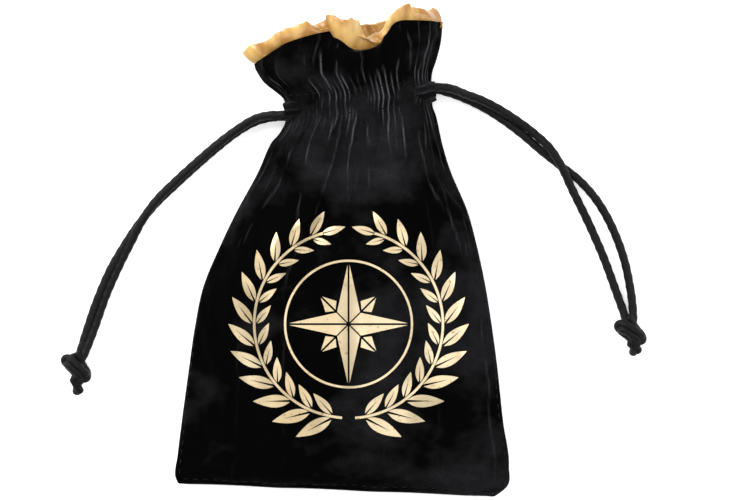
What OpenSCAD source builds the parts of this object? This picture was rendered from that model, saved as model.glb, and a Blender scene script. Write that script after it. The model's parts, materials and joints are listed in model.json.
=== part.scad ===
// Drawstring dice bag in velvet with a satin lining, lying on its back with its neck half gathered.
// +Z points up out of the front, +Y runs towards the mouth, and +X is to the bag's right.
// The origin is the middle of the bag's underside, on the surface that the bag lies on.

/* [Pouch] */
// Width across the bottom corners
pouch_width = 120; // [100:1:140]
// Length from the bottom edge to the top of the mouth
bag_length = 176; // [160:1:195]
// Height of the seam above the surface that the bag lies on
seam_height = 3; // [2.5:0.1:3.5]

/* [Fabric] */
// Thickness of the velvet with its pile
velvet_thickness = 1.2; // [0.9:0.1:1.4]
// Thickness of the satin lining
lining_thickness = 0.5; // [0.3:0.1:0.7]
// Thickness of the foil print
foil_thickness = 0.25; // [0.15:0.05:0.4]

/* [Neck] */
// Width of the gathered neck
neck_width = 54; // [50:1:60]
// Lean of the neck against the pouch, in degrees
neck_lean = 7; // [0:1:9]
// Length of the channel between its two rows of stitches
channel_length = 8.4; // [8:0.2:9]
// Gap around anything that moves
clearance = 0.3; // [0.2:0.1:0.4]

/* [Cord] */
// Diameter of the braided cord
cord_diameter = 3; // [2.6:0.1:3.2]
// Length of each strand that stays inside the channel
strand_in_channel = 19; // [18:1:20]
// Diameter of the knots
knot_diameter = 7.6; // [7:0.2:9]

/* [Thread] */
// Diameter of the sewing thread
thread_diameter = 0.5; // [0.4:0.1:0.6]
// Distance from one stitch to the next
stitch_pitch = 3.5; // [3:0.5:5]

/* [Emblem] */
// Outer radius of the wreath of leaves
emblem_radius = 43.5; // [38:0.5:44]
// Pairs of leaves along each branch
leaf_pairs = 12; // [8:1:14]

/* [Hidden] */

$fn = 32;
function unit(v) = v / norm(v);

velvet_black = [0.06, 0.06, 0.07];
satin_gold = [0.86, 0.68, 0.34];
foil_gold = [0.88, 0.80, 0.60];
cord_black = [0.10, 0.10, 0.11];
thread_black = [0.16, 0.16, 0.17];
thread_gold = [0.78, 0.58, 0.24];

// Plan positions below are for a bag of 120 by 176 mm, and stretch with it.
stretch = [pouch_width / 120, bag_length / 176];
function plan(p) = [p.x * stretch.x, p.y * stretch.y];

// The neck is a flat tube with round sides, on its own leaning axes.
neck_centre = plan([6.3, 52.5]);
neck_half = neck_width / 2;
channel_gap = cord_diameter + 2 * clearance;
lining_inset = velvet_thickness + channel_gap;
cord_inset = velvet_thickness + clearance + cord_diameter / 2;
neck_height = 2 * (lining_inset + 3.6);
neck_mid = neck_height / 2;
neck_flat = neck_half - neck_mid;
hem = 0.8;
channel_half = channel_length / 2 + hem / 2;
split = channel_half + clearance;
function neck_plan(x, y) = neck_centre + [
    x * cos(neck_lean) - y * sin(neck_lean),
    x * sin(neck_lean) + y * cos(neck_lean)
];
module on_neck() {
    translate(neck_centre) rotate(neck_lean) children();
}

// One row of the bag from its left edge to its right edge: the two ends in plan, the height of the
// seam, the height of the front above it, how far the front and the back take to round off at the
// sides, how far the row bows towards the mouth, and how far the lining hangs inside the velvet.
function row(left, right, seam, rise, front_round, back_round, bow = 0, drop = velvet_thickness) =
    [left, right, seam, rise, front_round, back_round, bow, drop];
function pouch_row(left, right, top) =
    row(plan(left), plan(right), seam_height, top - seam_height, 24, 8);
function neck_row(y, half, drop = velvet_thickness) =
    row(neck_plan(-half, y), neck_plan(half, y), neck_mid, neck_mid, neck_mid, neck_mid, 0, drop);
function mouth_row(left, right, top, bow, lift) =
    row(neck_plan(left.x, left.y), neck_plan(right.x, right.y), neck_mid + lift,
        top - neck_mid - lift, neck_mid, neck_mid, bow);

bottom_row = row(plan([-58.5, -83.2]), plan([54, -88]), seam_height, 0, 24, 8);
body_rows = [
    pouch_row([-60, -80], [59.5, -84], 6.4),
    pouch_row([-59, -74], [59.5, -77], 8.5),
    pouch_row([-57.5, -60], [57.5, -62], 11),
    pouch_row([-55.5, -44], [55.5, -44], 13),
    pouch_row([-53, -28], [53.5, -28], 14.5),
    pouch_row([-50, -13], [51, -12], 15.5),
    pouch_row([-45, -1], [48.5, 1], 16),
    pouch_row([-38, 13], [45, 14], 16.4),
    row(plan([-30, 28]), plan([39, 29]), 4.5, neck_height - 4.5, 16, 8),
    row(plan([-25, 38.3]), plan([35.6, 40.7]), 6.5, neck_height - 6.5, 11, 8)
];
neck_rows = [
    neck_row(-channel_half - 2.4, neck_half + 0.4),
    neck_row(-channel_half, neck_half),
    neck_row(-channel_half + hem, neck_half, lining_inset),
    neck_row(channel_half - hem, neck_half, lining_inset),
    neck_row(channel_half, neck_half)
];
// The ruffle above the neck flares out to the velvet's edge and the satin trim's top.
ruffle_top = 17.4;
function ruffle_rows(start, lift) = [
    mouth_row([-neck_half, start], [neck_half, start], neck_height, 0, lift),
    mouth_row([-29, 10], [28, 10.5], 17, 0.5, lift),
    mouth_row([-34, 15.5], [30.5, 18], 17.2, 2, lift),
    velvet_edge(lift)
];
function velvet_edge(lift) = mouth_row([-36, 18.8], [33, 25.3], ruffle_top, 4, lift);
function trim_rows(lift) = [
    velvet_edge(lift),
    mouth_row([-38, 22], [33, 28.5], 17.8, 4.5, lift),
    mouth_row([-39, 24], [31, 31], 17.4, 5, lift)
];

pouch_rows = concat([bottom_row], body_rows, neck_rows);
back_rows = concat(pouch_rows, ruffle_rows(split, 0));

// Points across one row, at a depth below the outer face. side is 1 for the front half and -1 for
// the back half, which is flat underneath. The ends are quarter ellipses.
round_angles = [0, 15, 33, 52, 72, 90];
function across(r, depth, side, first) =
    let (
        run = r[1] - r[0],
        half = norm(run) / 2,
        along = run / (2 * half),
        up = [-along.y, along.x],
        middle = (r[0] + r[1]) / 2 + (first ? depth : 0) * up,
        tall = side > 0 ? r[3] : first ? 0 : r[2],
        rise = max(tall - depth, 0),
        bend = max((side > 0 ? r[4] : r[5]) - depth, 0.5),
        flat = half - depth - bend,
        curve = [for (a = round_angles) [flat + bend * cos(a), rise * sin(a)]],
        last = len(curve) - 1,
        profile = concat(
            [for (c = curve) [-c.x, c.y]],
            [[-flat / 2, rise], [0, rise], [flat / 2, rise]],
            [for (i = [last:-1:0]) curve[i]]
        )
    )
    [for (p = profile)
        let (xy = middle + p.x * along + r[6] * (1 - pow(p.x / half, 2)) * up)
        [xy.x, xy.y, r[2] + side * p.y]];

// A curved sheet between two depths below the outer face. With lining set, its depths start from
// where the lining hangs in each row.
module sheet(rows, from, to, side, closed_end = false, lining = false) {
    wide = len(across(rows[0], from, side, false));
    tall = len(rows);
    function grid(depth) = [
        for (i = [0:tall - 1])
            each across(rows[i], depth + (lining ? rows[i][7] : 0), side, closed_end && i == 0)
    ];
    inner = wide * tall;
    function quad(a, b, c, d) = [[a, b, c], [a, c, d]];
    function turned(face) = side > 0 ? face : [face[2], face[1], face[0]];
    faces = concat(
        [for (i = [0:tall - 2], j = [0:wide - 2])
            let (p = i * wide + j)
            each concat(
                quad(p, p + wide, p + wide + 1, p + 1),
                quad(inner + p, inner + p + 1, inner + p + wide + 1, inner + p + wide))],
        [for (j = [0:wide - 2])
            let (last = (tall - 1) * wide + j)
            each concat(
                quad(j, j + 1, inner + j + 1, inner + j),
                quad(last + 1, last, inner + last, inner + last + 1))],
        [for (i = [0:tall - 2])
            let (left = i * wide, right = i * wide + wide - 1)
            each concat(
                quad(left, inner + left, inner + left + wide, left + wide),
                quad(right, right + wide, inner + right + wide, inner + right))]
    );
    polyhedron(concat(grid(from), grid(to)), [for (f = faces) turned(f)]);
}

// The two openings in the side seams, where the cords leave the channel.
module cord_slots() {
    reach = neck_flat + 1.8;
    tall = neck_height - 2 * (cord_inset - cord_diameter / 2 - clearance / 2);
    for (side = [-1, 1])
        on_neck()
            translate([side * (reach + 8), 0, neck_mid])
                cube([16, channel_gap * 2, tall], center = true);
}

module outer_front_panel() {
    color(velvet_black)
        difference() {
            sheet(pouch_rows, 0, velvet_thickness, 1, closed_end = true);
            cord_slots();
        }
}

module outer_back_panel() {
    color(velvet_black)
        difference() {
            sheet(back_rows, 0, velvet_thickness, -1, closed_end = true);
            cord_slots();
        }
}

module lining_front_panel() {
    color(satin_gold) sheet(pouch_rows, 0, lining_thickness, 1, closed_end = true, lining = true);
}

module lining_back_panel() {
    color(satin_gold) sheet(back_rows, 0, lining_thickness, -1, closed_end = true, lining = true);
}

module ruffle_front_velvet() {
    color(velvet_black) sheet(ruffle_rows(split, clearance), 0, velvet_thickness, 1);
}

module ruffle_front_lining() {
    color(satin_gold)
        sheet(ruffle_rows(split, clearance), 0, lining_thickness, 1, lining = true);
}

module mouth_trim_front() {
    color(satin_gold)
        sheet(trim_rows(clearance), 0, velvet_thickness + lining_thickness, 1);
}

module mouth_trim_back() {
    color(satin_gold) sheet(trim_rows(0), 0, velvet_thickness + lining_thickness, -1);
}

// Stitches that close the seams, each a short upright peg of thread through both panels.
peg_length = 1;
seam_inset = 0.7;
module peg(p) {
    translate([p.x, p.y, p.z - peg_length / 2])
        cylinder(d = thread_diameter, h = peg_length, $fn = 16);
}
// Pegs along a seam from a to b, half a step in from both ends.
module pegs(a, b) {
    count = round(norm(b - a) / stitch_pitch);
    for (k = [0:count - 1]) peg(a + (b - a) * (k + 0.5) / count);
}
// A point on the seam at one end of a row, which is 0 at the left and 1 at the right.
function seam_point(r, end, depth) =
    let (inward = unit(r[1 - end] - r[end]), xy = r[end] + depth * inward)
    [xy.x, xy.y, r[2]];
module side_seam_thread(end) {
    color(thread_black)
        for (i = [0:len(body_rows) - 2])
            pegs(seam_point(body_rows[i], end, seam_inset),
                seam_point(body_rows[i + 1], end, seam_inset));
}
module left_seam_thread() { side_seam_thread(0); }
module right_seam_thread() { side_seam_thread(1); }
module bottom_seam_thread() {
    corner = 2;
    a = seam_point(bottom_row, 0, corner);
    b = seam_point(bottom_row, 1, corner);
    along = unit(b - a);
    inward = [-along.y, along.x, 0] * seam_inset;
    color(thread_black) pegs(a + inward, b + inward);
}

// Stitches around the neck, in the pile of the velvet: a row along the front and the back of the
// flat tube, and a few around each of its sides, clear of the openings for the cords.
module neck_stitches(y) {
    radius = neck_mid - thread_diameter / 2 - 0.1;
    margin = 1;
    color(thread_black)
        on_neck()
            translate([0, y, neck_mid]) {
                for (x = [margin - neck_flat : stitch_pitch : neck_flat - margin], side = [-1, 1])
                    translate([x, 0, side * radius])
                        rotate([0, 90, 0]) stitch();
                for (side = [-1, 1], a = [-60, -36, 36, 60])
                    translate([side * neck_flat, 0, 0])
                        rotate([0, side > 0 ? a : 180 + a, 0])
                            translate([radius - 0.1, 0, 0]) stitch();
            }
}
module stitch() {
    cylinder(d = thread_diameter, h = stitch_pitch * 0.6, center = true, $fn = 16);
}
module lower_channel_stitching() { neck_stitches(-channel_length / 2); }
module upper_channel_stitching() { neck_stitches(channel_length / 2 - 0.1); }

// Stitches that hold the satin trim, along the flat part of the velvet's edge.
module mouth_stitches(lift, side) {
    depth = 0.45;
    below_edge = 1.2;
    points = across(velvet_edge(lift), depth, side, false);
    ends = len(round_angles);
    down = -below_edge * [-sin(neck_lean), cos(neck_lean), 0];
    color(thread_gold)
        for (i = [ends - 1 : len(points) - ends - 1]) {
            a = points[i];
            b = points[i + 1];
            count = max(round(norm(b - a) / stitch_pitch), 1);
            for (k = [0:count - 1])
                translate(a + (b - a) * (k + 0.5) / count + down)
                    rotate([0, 90, atan2((b - a).y, (b - a).x)]) stitch();
        }
}
module mouth_stitching_front() { mouth_stitches(clearance, 1); }
module mouth_stitching_back() { mouth_stitches(0, -1); }

// A wreath of two leafy branches around a ring with a compass star.
emblem_centre = plan([2.3, -26.7]);
leaf_length = 14;
leaf_width = 4.8;
leaf_spread = 38;
// A leaf on the inside of its branch is smaller than the one on the outside.
inner_leaf = 0.7;
vein_width = 0.9;
vein_share = 0.72;
stem_radius = emblem_radius - 10;
stem_width = 0.9;
// Half of the angle left open between the branches, at the bottom and at the top.
wreath_foot = 4;
wreath_gap = 16;
ring_radius = 22.5;
ring_width = 0.8;
star_long = 21;
star_short = 13.5;
star_waist = 4.4;
// Bare velvet between the facets of the star.
facet_gap = 0.7;
// A pointed leaf, slit along its vein from the stem towards the tip.
module leaf() {
    steps = 6;
    half = [for (t = [1:steps])
        [leaf_length * t / steps, leaf_width / 2 * pow(sin(180 * pow(t / steps, 0.75)), 0.9)]];
    polygon(concat(
        [[0, vein_width / 2]], half,
        [for (t = [steps - 2:-1:0]) [half[t].x, -half[t].y]],
        [[0, -vein_width / 2], [leaf_length * vein_share, 0]]));
}
module arc_band(radius, width, from, to) {
    steps = 24;
    function rim(r, t) =
        let (a = from + (to - from) * t / steps)
        r * [cos(a), sin(a)];
    polygon(concat(
        [for (t = [0:steps]) rim(radius + width / 2, t)],
        [for (t = [steps:-1:0]) rim(radius - width / 2, t)]));
}
// One branch grows from the foot of the wreath to its open top, on the right.
module branch() {
    sweep = 180 - wreath_foot - wreath_gap;
    start = wreath_foot - 90;
    for (k = [0:leaf_pairs - 1], side = [-1, 1])
        rotate(start + sweep * (k + 0.5) / leaf_pairs)
            translate([stem_radius + side * stem_width, 0])
                rotate(90 - side * leaf_spread)
                    scale((side < 0 ? inner_leaf : 1) * (1 - 0.35 * k / leaf_pairs))
                        leaf();
    rotate(start + sweep)
        translate([stem_radius, 0])
            rotate(90)
                scale(0.6) leaf();
    arc_band(stem_radius, stem_width, start, start + sweep);
}
// One point of the star, as two facets beside its middle line.
module star_point(start, length, wing) {
    for (side = [-1, 1])
        translate([0, side * facet_gap / 2])
            polygon([[start, 0], [length, 0], [wing.x, side * wing.y]]);
}
module star() {
    valley = star_waist * sqrt(2);
    for (k = [0:3]) {
        rotate(k * 90) star_point(facet_gap, star_long, [star_waist, star_waist - facet_gap]);
        rotate(k * 90 + 45) star_point(valley + facet_gap, star_short, [valley + 2.6, 2.4]);
    }
}
module emblem_shape() {
    translate(emblem_centre) {
        branch();
        mirror([1, 0]) branch();
        arc_band(ring_radius, ring_width, 0, 180);
        arc_band(ring_radius, ring_width, 180, 360);
        star();
    }
}
module foil_emblem() {
    color(foil_gold)
        intersection() {
            sheet(body_rows, -foil_thickness, 0, 1);
            linear_extrude(height = neck_height + 5) emblem_shape();
        }
}

// The two cords lie side by side in the channel, each in its own lane.
cord_lane = cord_diameter / 2 + 0.2;
// The loop of cord that stays inside the channel, around the far side of the neck.
module channel_loop(side) {
    start = -(neck_half - strand_in_channel) + clearance;
    bend = neck_mid - cord_inset;
    color(cord_black)
        on_neck()
            translate([0, side * cord_lane, neck_mid])
                rotate([0, 0, side > 0 ? 180 : 0]) {
                    for (z = [-bend, bend])
                        translate([start, 0, z])
                            rotate([0, 90, 0])
                                cylinder(d = cord_diameter, h = neck_flat - start);
                    translate([neck_flat, 0, 0])
                        rotate([90, 0, 0])
                            rotate([0, 0, -90])
                                rotate_extrude(angle = 180)
                                    translate([bend, 0]) circle(d = cord_diameter);
                }
}
module left_channel_loop() { channel_loop(-1); }
module right_channel_loop() { channel_loop(1); }

// A strand leaves its side of the channel at the height of the front or the back run, sinks to the
// surface beside the bag, and runs along it to the knot. Points are in plan with their heights.
front_run = neck_height - cord_inset;
back_run = cord_inset;
function leaving(side, height) = [
    for (out = [neck_half - strand_in_channel, neck_half - 10, neck_half - 1])
        let (p = neck_plan(side * out, side * cord_lane)) [p.x, p.y, height]
];
function route(side, height, points) =
    concat(leaving(side, height), [for (p = points) [p.x * stretch.x, p.y * stretch.y, p.z]]);
left_front_route = [
    [-26, 47.4, 12.6], [-31.5, 46.2, 9], [-37.5, 42.8, 6], [-44.5, 37.7, 4.7], [-53, 30.4, 4.6],
    [-60, 24, 4.6], [-66.6, 17.4, 4.6], [-71.8, 10.2, 4], [-76, 2.4, 2.4], [-80.4, -6.2, 1.6],
    [-85, -16.6, 1.5], [-88.8, -27.4, 1.7], [-92, -36, 2.6], [-93.8, -40, 3.6]
];
left_back_route = [
    [-26, 47.1, 2.3], [-32, 45.4, 1.6], [-38.5, 41.6, 1.5], [-45.6, 36, 1.5], [-53.4, 29.2, 1.5],
    [-60.6, 22.6, 1.5], [-67.6, 15.8, 1.5], [-73.6, 8.4, 1.5], [-79, 0.2, 1.5], [-83.8, -8.2, 1.5],
    [-88.4, -19, 1.5], [-91.8, -29, 1.5], [-94.2, -37, 2], [-95, -40, 3]
];
right_front_route = [
    [38.5, 57, 12.4], [44, 55.2, 8.6], [50, 53.2, 5.6], [56.4, 50, 4.3], [63.4, 45.6, 2.8],
    [69.4, 41, 2.8], [74.6, 35.8, 4.4], [78.8, 29, 4.6], [82.6, 21, 3.2], [88.4, 9.4, 1.6],
    [94, -3.4, 1.5], [98.6, -16, 1.5], [101.2, -23.4, 2.4], [102, -27, 3.6]
];
right_back_route = [
    [38.5, 56, 2.4], [45, 53.6, 1.5], [51.4, 50.4, 1.5], [58, 46.2, 1.5], [65, 40.9, 1.5],
    [71.4, 35.4, 1.5], [78, 30.2, 1.5], [85.4, 24.4, 1.5], [91.8, 16.9, 1.5], [97, 7.6, 1.5],
    [101.2, -3.6, 1.5], [103.6, -15, 1.5], [104.4, -23, 2.2], [104.2, -27, 3.4]
];

module tube(points, diameter) {
    sides = 8;
    last = len(points) - 1;
    rings = [for (i = [0:last])
        let (
            ahead = unit(points[min(i + 1, last)] - points[max(i - 1, 0)]),
            across = unit(cross(ahead, [0, 0, 1])),
            up = cross(across, ahead)
        )
        for (k = [0:sides - 1])
            let (a = 360 * (k + 0.5) / sides)
            points[i] + diameter / 2 * (cos(a) * across + sin(a) * up)];
    faces = concat(
        [for (i = [0:last - 1], k = [0:sides - 1])
            let (a = i * sides + k, b = i * sides + (k + 1) % sides)
            each [[a, b, b + sides], [a, b + sides, a + sides]]],
        [[for (k = [sides - 1:-1:0]) k], [for (k = [0:sides - 1]) last * sides + k]]
    );
    polyhedron(rings, faces);
}
module strand(side, height, points) {
    color(cord_black) tube(route(side, height, points), cord_diameter);
}
module left_front_strand() { strand(-1, front_run, left_front_route); }
module left_back_strand() { strand(-1, back_run, left_back_route); }
module right_front_strand() { strand(1, front_run, right_front_route); }
module right_back_strand() { strand(1, back_run, right_back_route); }

// An overhand knot ties the two strands together and leaves two short tails.
module knot(centre, heading, length) {
    bulge = 3;
    radius = knot_diameter / 2 + bulge;
    color(cord_black)
        translate([plan(centre).x, plan(centre).y, knot_diameter / 2])
            rotate([0, 90, heading])
                intersection() {
                    rotate_extrude()
                        intersection() {
                            translate([-bulge, 0]) circle(r = radius, $fn = 64);
                            translate([0, -radius]) square([radius, 2 * radius]);
                        }
                    cube([3 * radius, 3 * radius, length], center = true);
                }
}
module tail(from, to) {
    a = [plan(from).x, plan(from).y, from.z];
    b = [plan(to).x, plan(to).y, to.z];
    run = b - a;
    translate(a)
        rotate([0, acos(run.z / norm(run)), atan2(run.y, run.x)])
            cylinder(d = cord_diameter, h = norm(run));
}
left_knot_centre = [-95.2, -43];
right_knot_centre = [103.6, -30];
module left_knot() { knot(left_knot_centre, -80, 9); }
module right_knot() { knot(right_knot_centre, -70, 9); }
module left_tails() {
    color(cord_black) {
        tail([-94.6, -45.4, 2.6], [-94.8, -51, 1.5]);
        tail([-97.2, -45.2, 4.6], [-98.6, -50.6, 1.6]);
    }
}
module right_tails() {
    color(cord_black) {
        tail([104, -32.6, 2.6], [105.1, -36.6, 1.5]);
        tail([106.4, -31.6, 4.6], [109.6, -35.6, 1.6]);
    }
}

outer_front_panel();
outer_back_panel();
lining_front_panel();
lining_back_panel();
left_seam_thread();
right_seam_thread();
bottom_seam_thread();
lower_channel_stitching();
upper_channel_stitching();
foil_emblem();
mouth_trim_back();
mouth_stitching_back();
ruffle_front_velvet();
ruffle_front_lining();
mouth_trim_front();
mouth_stitching_front();
left_channel_loop();
left_front_strand();
left_back_strand();
left_knot();
left_tails();
right_channel_loop();
right_front_strand();
right_back_strand();
right_knot();
right_tails();
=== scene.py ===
"""Drawstring dice bag in black velvet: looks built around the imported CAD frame."""

import json
import math

import bmesh
import bpy
import numpy as np
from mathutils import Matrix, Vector
from mathutils.bvhtree import BVHTree


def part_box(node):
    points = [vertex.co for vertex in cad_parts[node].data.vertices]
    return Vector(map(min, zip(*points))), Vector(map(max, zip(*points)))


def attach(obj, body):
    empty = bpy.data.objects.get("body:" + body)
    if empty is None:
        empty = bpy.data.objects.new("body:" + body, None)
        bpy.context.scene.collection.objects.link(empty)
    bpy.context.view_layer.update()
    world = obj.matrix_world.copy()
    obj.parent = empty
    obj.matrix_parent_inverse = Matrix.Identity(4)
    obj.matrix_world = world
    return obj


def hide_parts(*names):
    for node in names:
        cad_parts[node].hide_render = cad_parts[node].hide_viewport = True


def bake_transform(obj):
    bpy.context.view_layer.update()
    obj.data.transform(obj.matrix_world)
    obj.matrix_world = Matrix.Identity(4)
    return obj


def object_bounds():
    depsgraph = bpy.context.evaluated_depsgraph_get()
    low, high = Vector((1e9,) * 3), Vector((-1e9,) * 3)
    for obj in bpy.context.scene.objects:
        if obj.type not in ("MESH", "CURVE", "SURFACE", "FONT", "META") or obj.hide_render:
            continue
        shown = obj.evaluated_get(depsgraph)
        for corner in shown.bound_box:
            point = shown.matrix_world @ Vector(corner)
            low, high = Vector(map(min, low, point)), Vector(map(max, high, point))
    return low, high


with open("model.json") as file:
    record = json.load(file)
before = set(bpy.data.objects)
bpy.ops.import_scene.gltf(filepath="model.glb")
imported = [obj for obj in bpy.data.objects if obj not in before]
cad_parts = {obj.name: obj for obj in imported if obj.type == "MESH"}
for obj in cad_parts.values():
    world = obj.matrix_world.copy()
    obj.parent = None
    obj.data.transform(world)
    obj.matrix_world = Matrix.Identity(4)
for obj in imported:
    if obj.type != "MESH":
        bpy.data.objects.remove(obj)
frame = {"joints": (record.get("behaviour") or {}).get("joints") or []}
cad_low, cad_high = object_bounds()
MM = 0.001

# ---- frame


def box_centre(node):
    low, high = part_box(node)
    return (low + high) / 2


joints = {j["name"]: j for j in frame["joints"]}
neck_x = np.array(joints["right_cord_pull"]["axis"], float)
neck_y = np.array([-neck_x[1], neck_x[0], 0.0])
neck_o = np.array(
    (box_centre("lower_channel_stitching") + box_centre("upper_channel_stitching")) / 2
)
neck_o[2] = 0.0
UP = np.array([0.0, 0.0, 1.0])


def neck(x, y, z=0.0):
    """A point given on the neck's leaning axes, in mm, as a point of the row frame in metres."""
    return neck_o + (neck_x * x + neck_y * y + UP * z) * MM


def flat(x, y, z=0.0):
    return np.array([x, y, z]) * MM


# ---- camera, light, floor

VIEW_CENTRE = (11.5 * MM, -0.4 * MM)
VIEW_WIDTH = 268 * MM
LENS = 120
SENSOR = 36
VIEW_HEIGHT = 6 * MM
FLOOR_PAINT = {
    "Base Color": (0.93, 0.93, 0.93, 1),
    "Roughness": 0.9,
    "Emission Color": (1, 1, 1, 1),
    "Emission Strength": 0.45,
}
WORLD_LIGHT = 0.42


def add_object(name, data):
    obj = bpy.data.objects.new(name, data)
    bpy.context.scene.collection.objects.link(obj)
    return obj


def make_camera():
    data = bpy.data.cameras.new("camera")
    data.lens = LENS
    data.sensor_width = SENSOR
    cam = add_object("camera", data)
    cam.location = (*VIEW_CENTRE, VIEW_HEIGHT + VIEW_WIDTH * LENS / SENSOR)
    data.clip_start, data.clip_end = 0.01, 20
    bpy.context.scene.camera = cam


def area_light(name, place, size, power, colour=(1, 1, 1)):
    data = bpy.data.lights.new(name, "AREA")
    data.shape = "RECTANGLE"
    data.size, data.size_y = size
    data.energy = power
    data.color = colour
    lamp = add_object(name, data)
    lamp.location = place
    lamp.rotation_euler = (-Vector(place)).to_track_quat("-Z", "Y").to_euler()


def make_stage():
    bpy.ops.mesh.primitive_plane_add(size=6, location=(0, 0, cad_low.z - 0.0002))
    floor = bpy.context.object
    floor.name = "floor"
    paint = bpy.data.materials.new("floor")
    paint.use_nodes = True
    shader = paint.node_tree.nodes["Principled BSDF"]
    for key, value in FLOOR_PAINT.items():
        shader.inputs[key].default_value = value
    floor.data.materials.append(paint)
    world = bpy.data.worlds.new("studio")
    world.use_nodes = True
    background = world.node_tree.nodes["Background"]
    background.inputs["Color"].default_value = (1, 1, 1, 1)
    background.inputs["Strength"].default_value = WORLD_LIGHT
    bpy.context.scene.world = world
    area_light("key", (-0.55, 0.50, 0.55), (0.5, 0.4), 9)
    area_light("fill", (0.7, 0.1, 0.5), (0.5, 0.6), 4)
    area_light("top", (0.0, -0.2, 1.3), (0.8, 0.8), 5)
    bpy.context.scene.view_settings.view_transform = "Standard"


make_camera()
make_stage()

# ---- materials


class Paint:
    """A node material with a Principled shader, and short calls that add and link nodes."""

    def __init__(self, name, colour, roughness):
        self.material = bpy.data.materials.new(name)
        self.material.use_nodes = True
        self.tree = self.material.node_tree
        self.shader = self.tree.nodes["Principled BSDF"]
        self.shader.inputs["Base Color"].default_value = (*colour, 1)
        self.shader.inputs["Roughness"].default_value = roughness
        self.place = self.add("ShaderNodeTexCoord").outputs["Object"]

    def add(self, kind, **settings):
        node = self.tree.nodes.new(kind)
        for key, value in settings.items():
            if key in node.inputs:
                node.inputs[key].default_value = value
            else:
                setattr(node, key, value)
        return node

    def link(self, a, b):
        self.tree.links.new(a, b)

    def fixed(self, **values):
        for key, value in values.items():
            self.shader.inputs[key.replace("_", " ")].default_value = value
        return self

    def noise(self, scale, detail=3.0, stretch=(1, 1, 1), roughness=0.5):
        mapping = self.add("ShaderNodeMapping")
        mapping.inputs["Scale"].default_value = stretch
        self.link(self.place, mapping.inputs["Vector"])
        node = self.add("ShaderNodeTexNoise", Scale=scale, Detail=detail, Roughness=roughness)
        self.link(mapping.outputs["Vector"], node.inputs["Vector"])
        return node.outputs["Fac"]

    def ramp(self, factor, *stops):
        node = self.add("ShaderNodeValToRGB")
        band = node.color_ramp
        while len(band.elements) < len(stops):
            band.elements.new(0.5)
        for element, (place, colour) in zip(band.elements, stops):
            element.position = place
            element.color = (*colour, 1) if len(colour) == 3 else colour
        self.link(factor, node.inputs["Fac"])
        return node.outputs["Color"]

    def mix(self, factor, a, b, blend="MIX"):
        node = self.add("ShaderNodeMix", data_type="RGBA", blend_type=blend)
        if isinstance(factor, float):
            node.inputs["Factor"].default_value = factor
        else:
            self.link(factor, node.inputs["Factor"])
        for socket, value in (("A", a), ("B", b)):
            target = [s for s in node.inputs if s.name == socket and s.type == "RGBA"][0]
            if isinstance(value, tuple):
                target.default_value = (*value, 1)
            else:
                self.link(value, target)
        return [s for s in node.outputs if s.type == "RGBA"][0]

    def math(self, operation, a, b=0.0):
        node = self.add("ShaderNodeMath", operation=operation)
        for i, value in enumerate((a, b)):
            if isinstance(value, (int, float)):
                node.inputs[i].default_value = value
            else:
                self.link(value, node.inputs[i])
        return node.outputs["Value"]

    def colour(self, socket):
        self.link(socket, self.shader.inputs["Base Color"])

    def rough(self, factor, low, high):
        node = self.add("ShaderNodeMapRange")
        node.inputs["To Min"].default_value = low
        node.inputs["To Max"].default_value = high
        self.link(factor, node.inputs["Value"])
        self.link(node.outputs["Result"], self.shader.inputs["Roughness"])

    def bump(self, *layers):
        """Each layer is (height, strength, depth in metres)."""
        normal = None
        for height, strength, depth in layers:
            node = self.add("ShaderNodeBump", Strength=strength, Distance=depth)
            self.link(height, node.inputs["Height"])
            if normal is not None:
                self.link(normal, node.inputs["Normal"])
            normal = node.outputs["Normal"]
        self.link(normal, self.shader.inputs["Normal"])

    def fibres(self, fibre, tones, rough, depth):
        """Colour, roughness and bump that all follow the fibres of a cord or a thread."""
        self.colour(self.ramp(fibre, *tones))
        self.rough(fibre, *rough)
        self.bump((fibre, 0.4, depth))
        return self.material


def velvet_material():
    p = Paint("velvet", (0.003, 0.003, 0.0034), 0.95)
    p.fixed(Sheen_Weight=0.16, Sheen_Roughness=0.24, Sheen_Tint=(0.62, 0.62, 0.66, 1))
    p.fixed(Specular_IOR_Level=0.03)
    # Broad pale patches on the velvet: partly the pile brushed one way, partly painted sheen.
    brushed_pile_and_sheen = p.noise(30, 4, (0.8, 1.0, 1.0), 0.6)
    pile = p.noise(2600, 2)
    streaks = p.noise(320, 3, (1.0, 0.25, 1.0))
    tone = p.ramp(brushed_pile_and_sheen, (0.49, (0.0005, 0.0005, 0.0006)), (0.72, (0.0145, 0.0145, 0.016)))
    grain = p.ramp(pile, (0.3, (0.55, 0.55, 0.55)), (0.7, (1.3, 1.3, 1.3)))
    # Painted highlight: thin pale lines along the tops of the folds, read from the crest attribute and
    # broken up by noise.
    ridge = p.add("ShaderNodeAttribute", attribute_name="crest").outputs["Fac"]
    broken = p.ramp(p.noise(110, 3, (1.0, 0.5, 1.0)), (0.44, (0, 0, 0)), (0.60, (1, 1, 1)))
    crest_highlight = p.math("MULTIPLY", p.math("MULTIPLY", ridge, broken), p.math("ADD", streaks, 0.25))
    tone = p.mix(crest_highlight, tone, (0.085, 0.085, 0.092))
    p.colour(p.mix(1.0, tone, grain, "MULTIPLY"))
    p.rough(streaks, 0.8, 1.0)
    p.bump((pile, 0.5, 0.00025), (streaks, 0.25, 0.0005))
    return p.material


def satin_material(name, deep, pale):
    p = Paint(name, pale, 0.34)
    p.fixed(Sheen_Weight=0.25, Sheen_Roughness=0.4, Specular_IOR_Level=0.6)
    p.fixed(Anisotropic=0.4)
    painted_shading = p.noise(130, 2, (1.0, 0.6, 1.0))
    weft = p.noise(1500, 2, (1.0, 0.12, 1.0))
    # Painted shade and highlight: noise mixes the deep, shaded tone with the pale, lit tone.
    p.colour(p.ramp(painted_shading, (0.38, deep), (0.62, pale)))
    p.rough(weft, 0.27, 0.42)
    p.bump((weft, 0.18, 0.00012), (p.noise(160, 3), 0.25, 0.0008))
    return p.material


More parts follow.
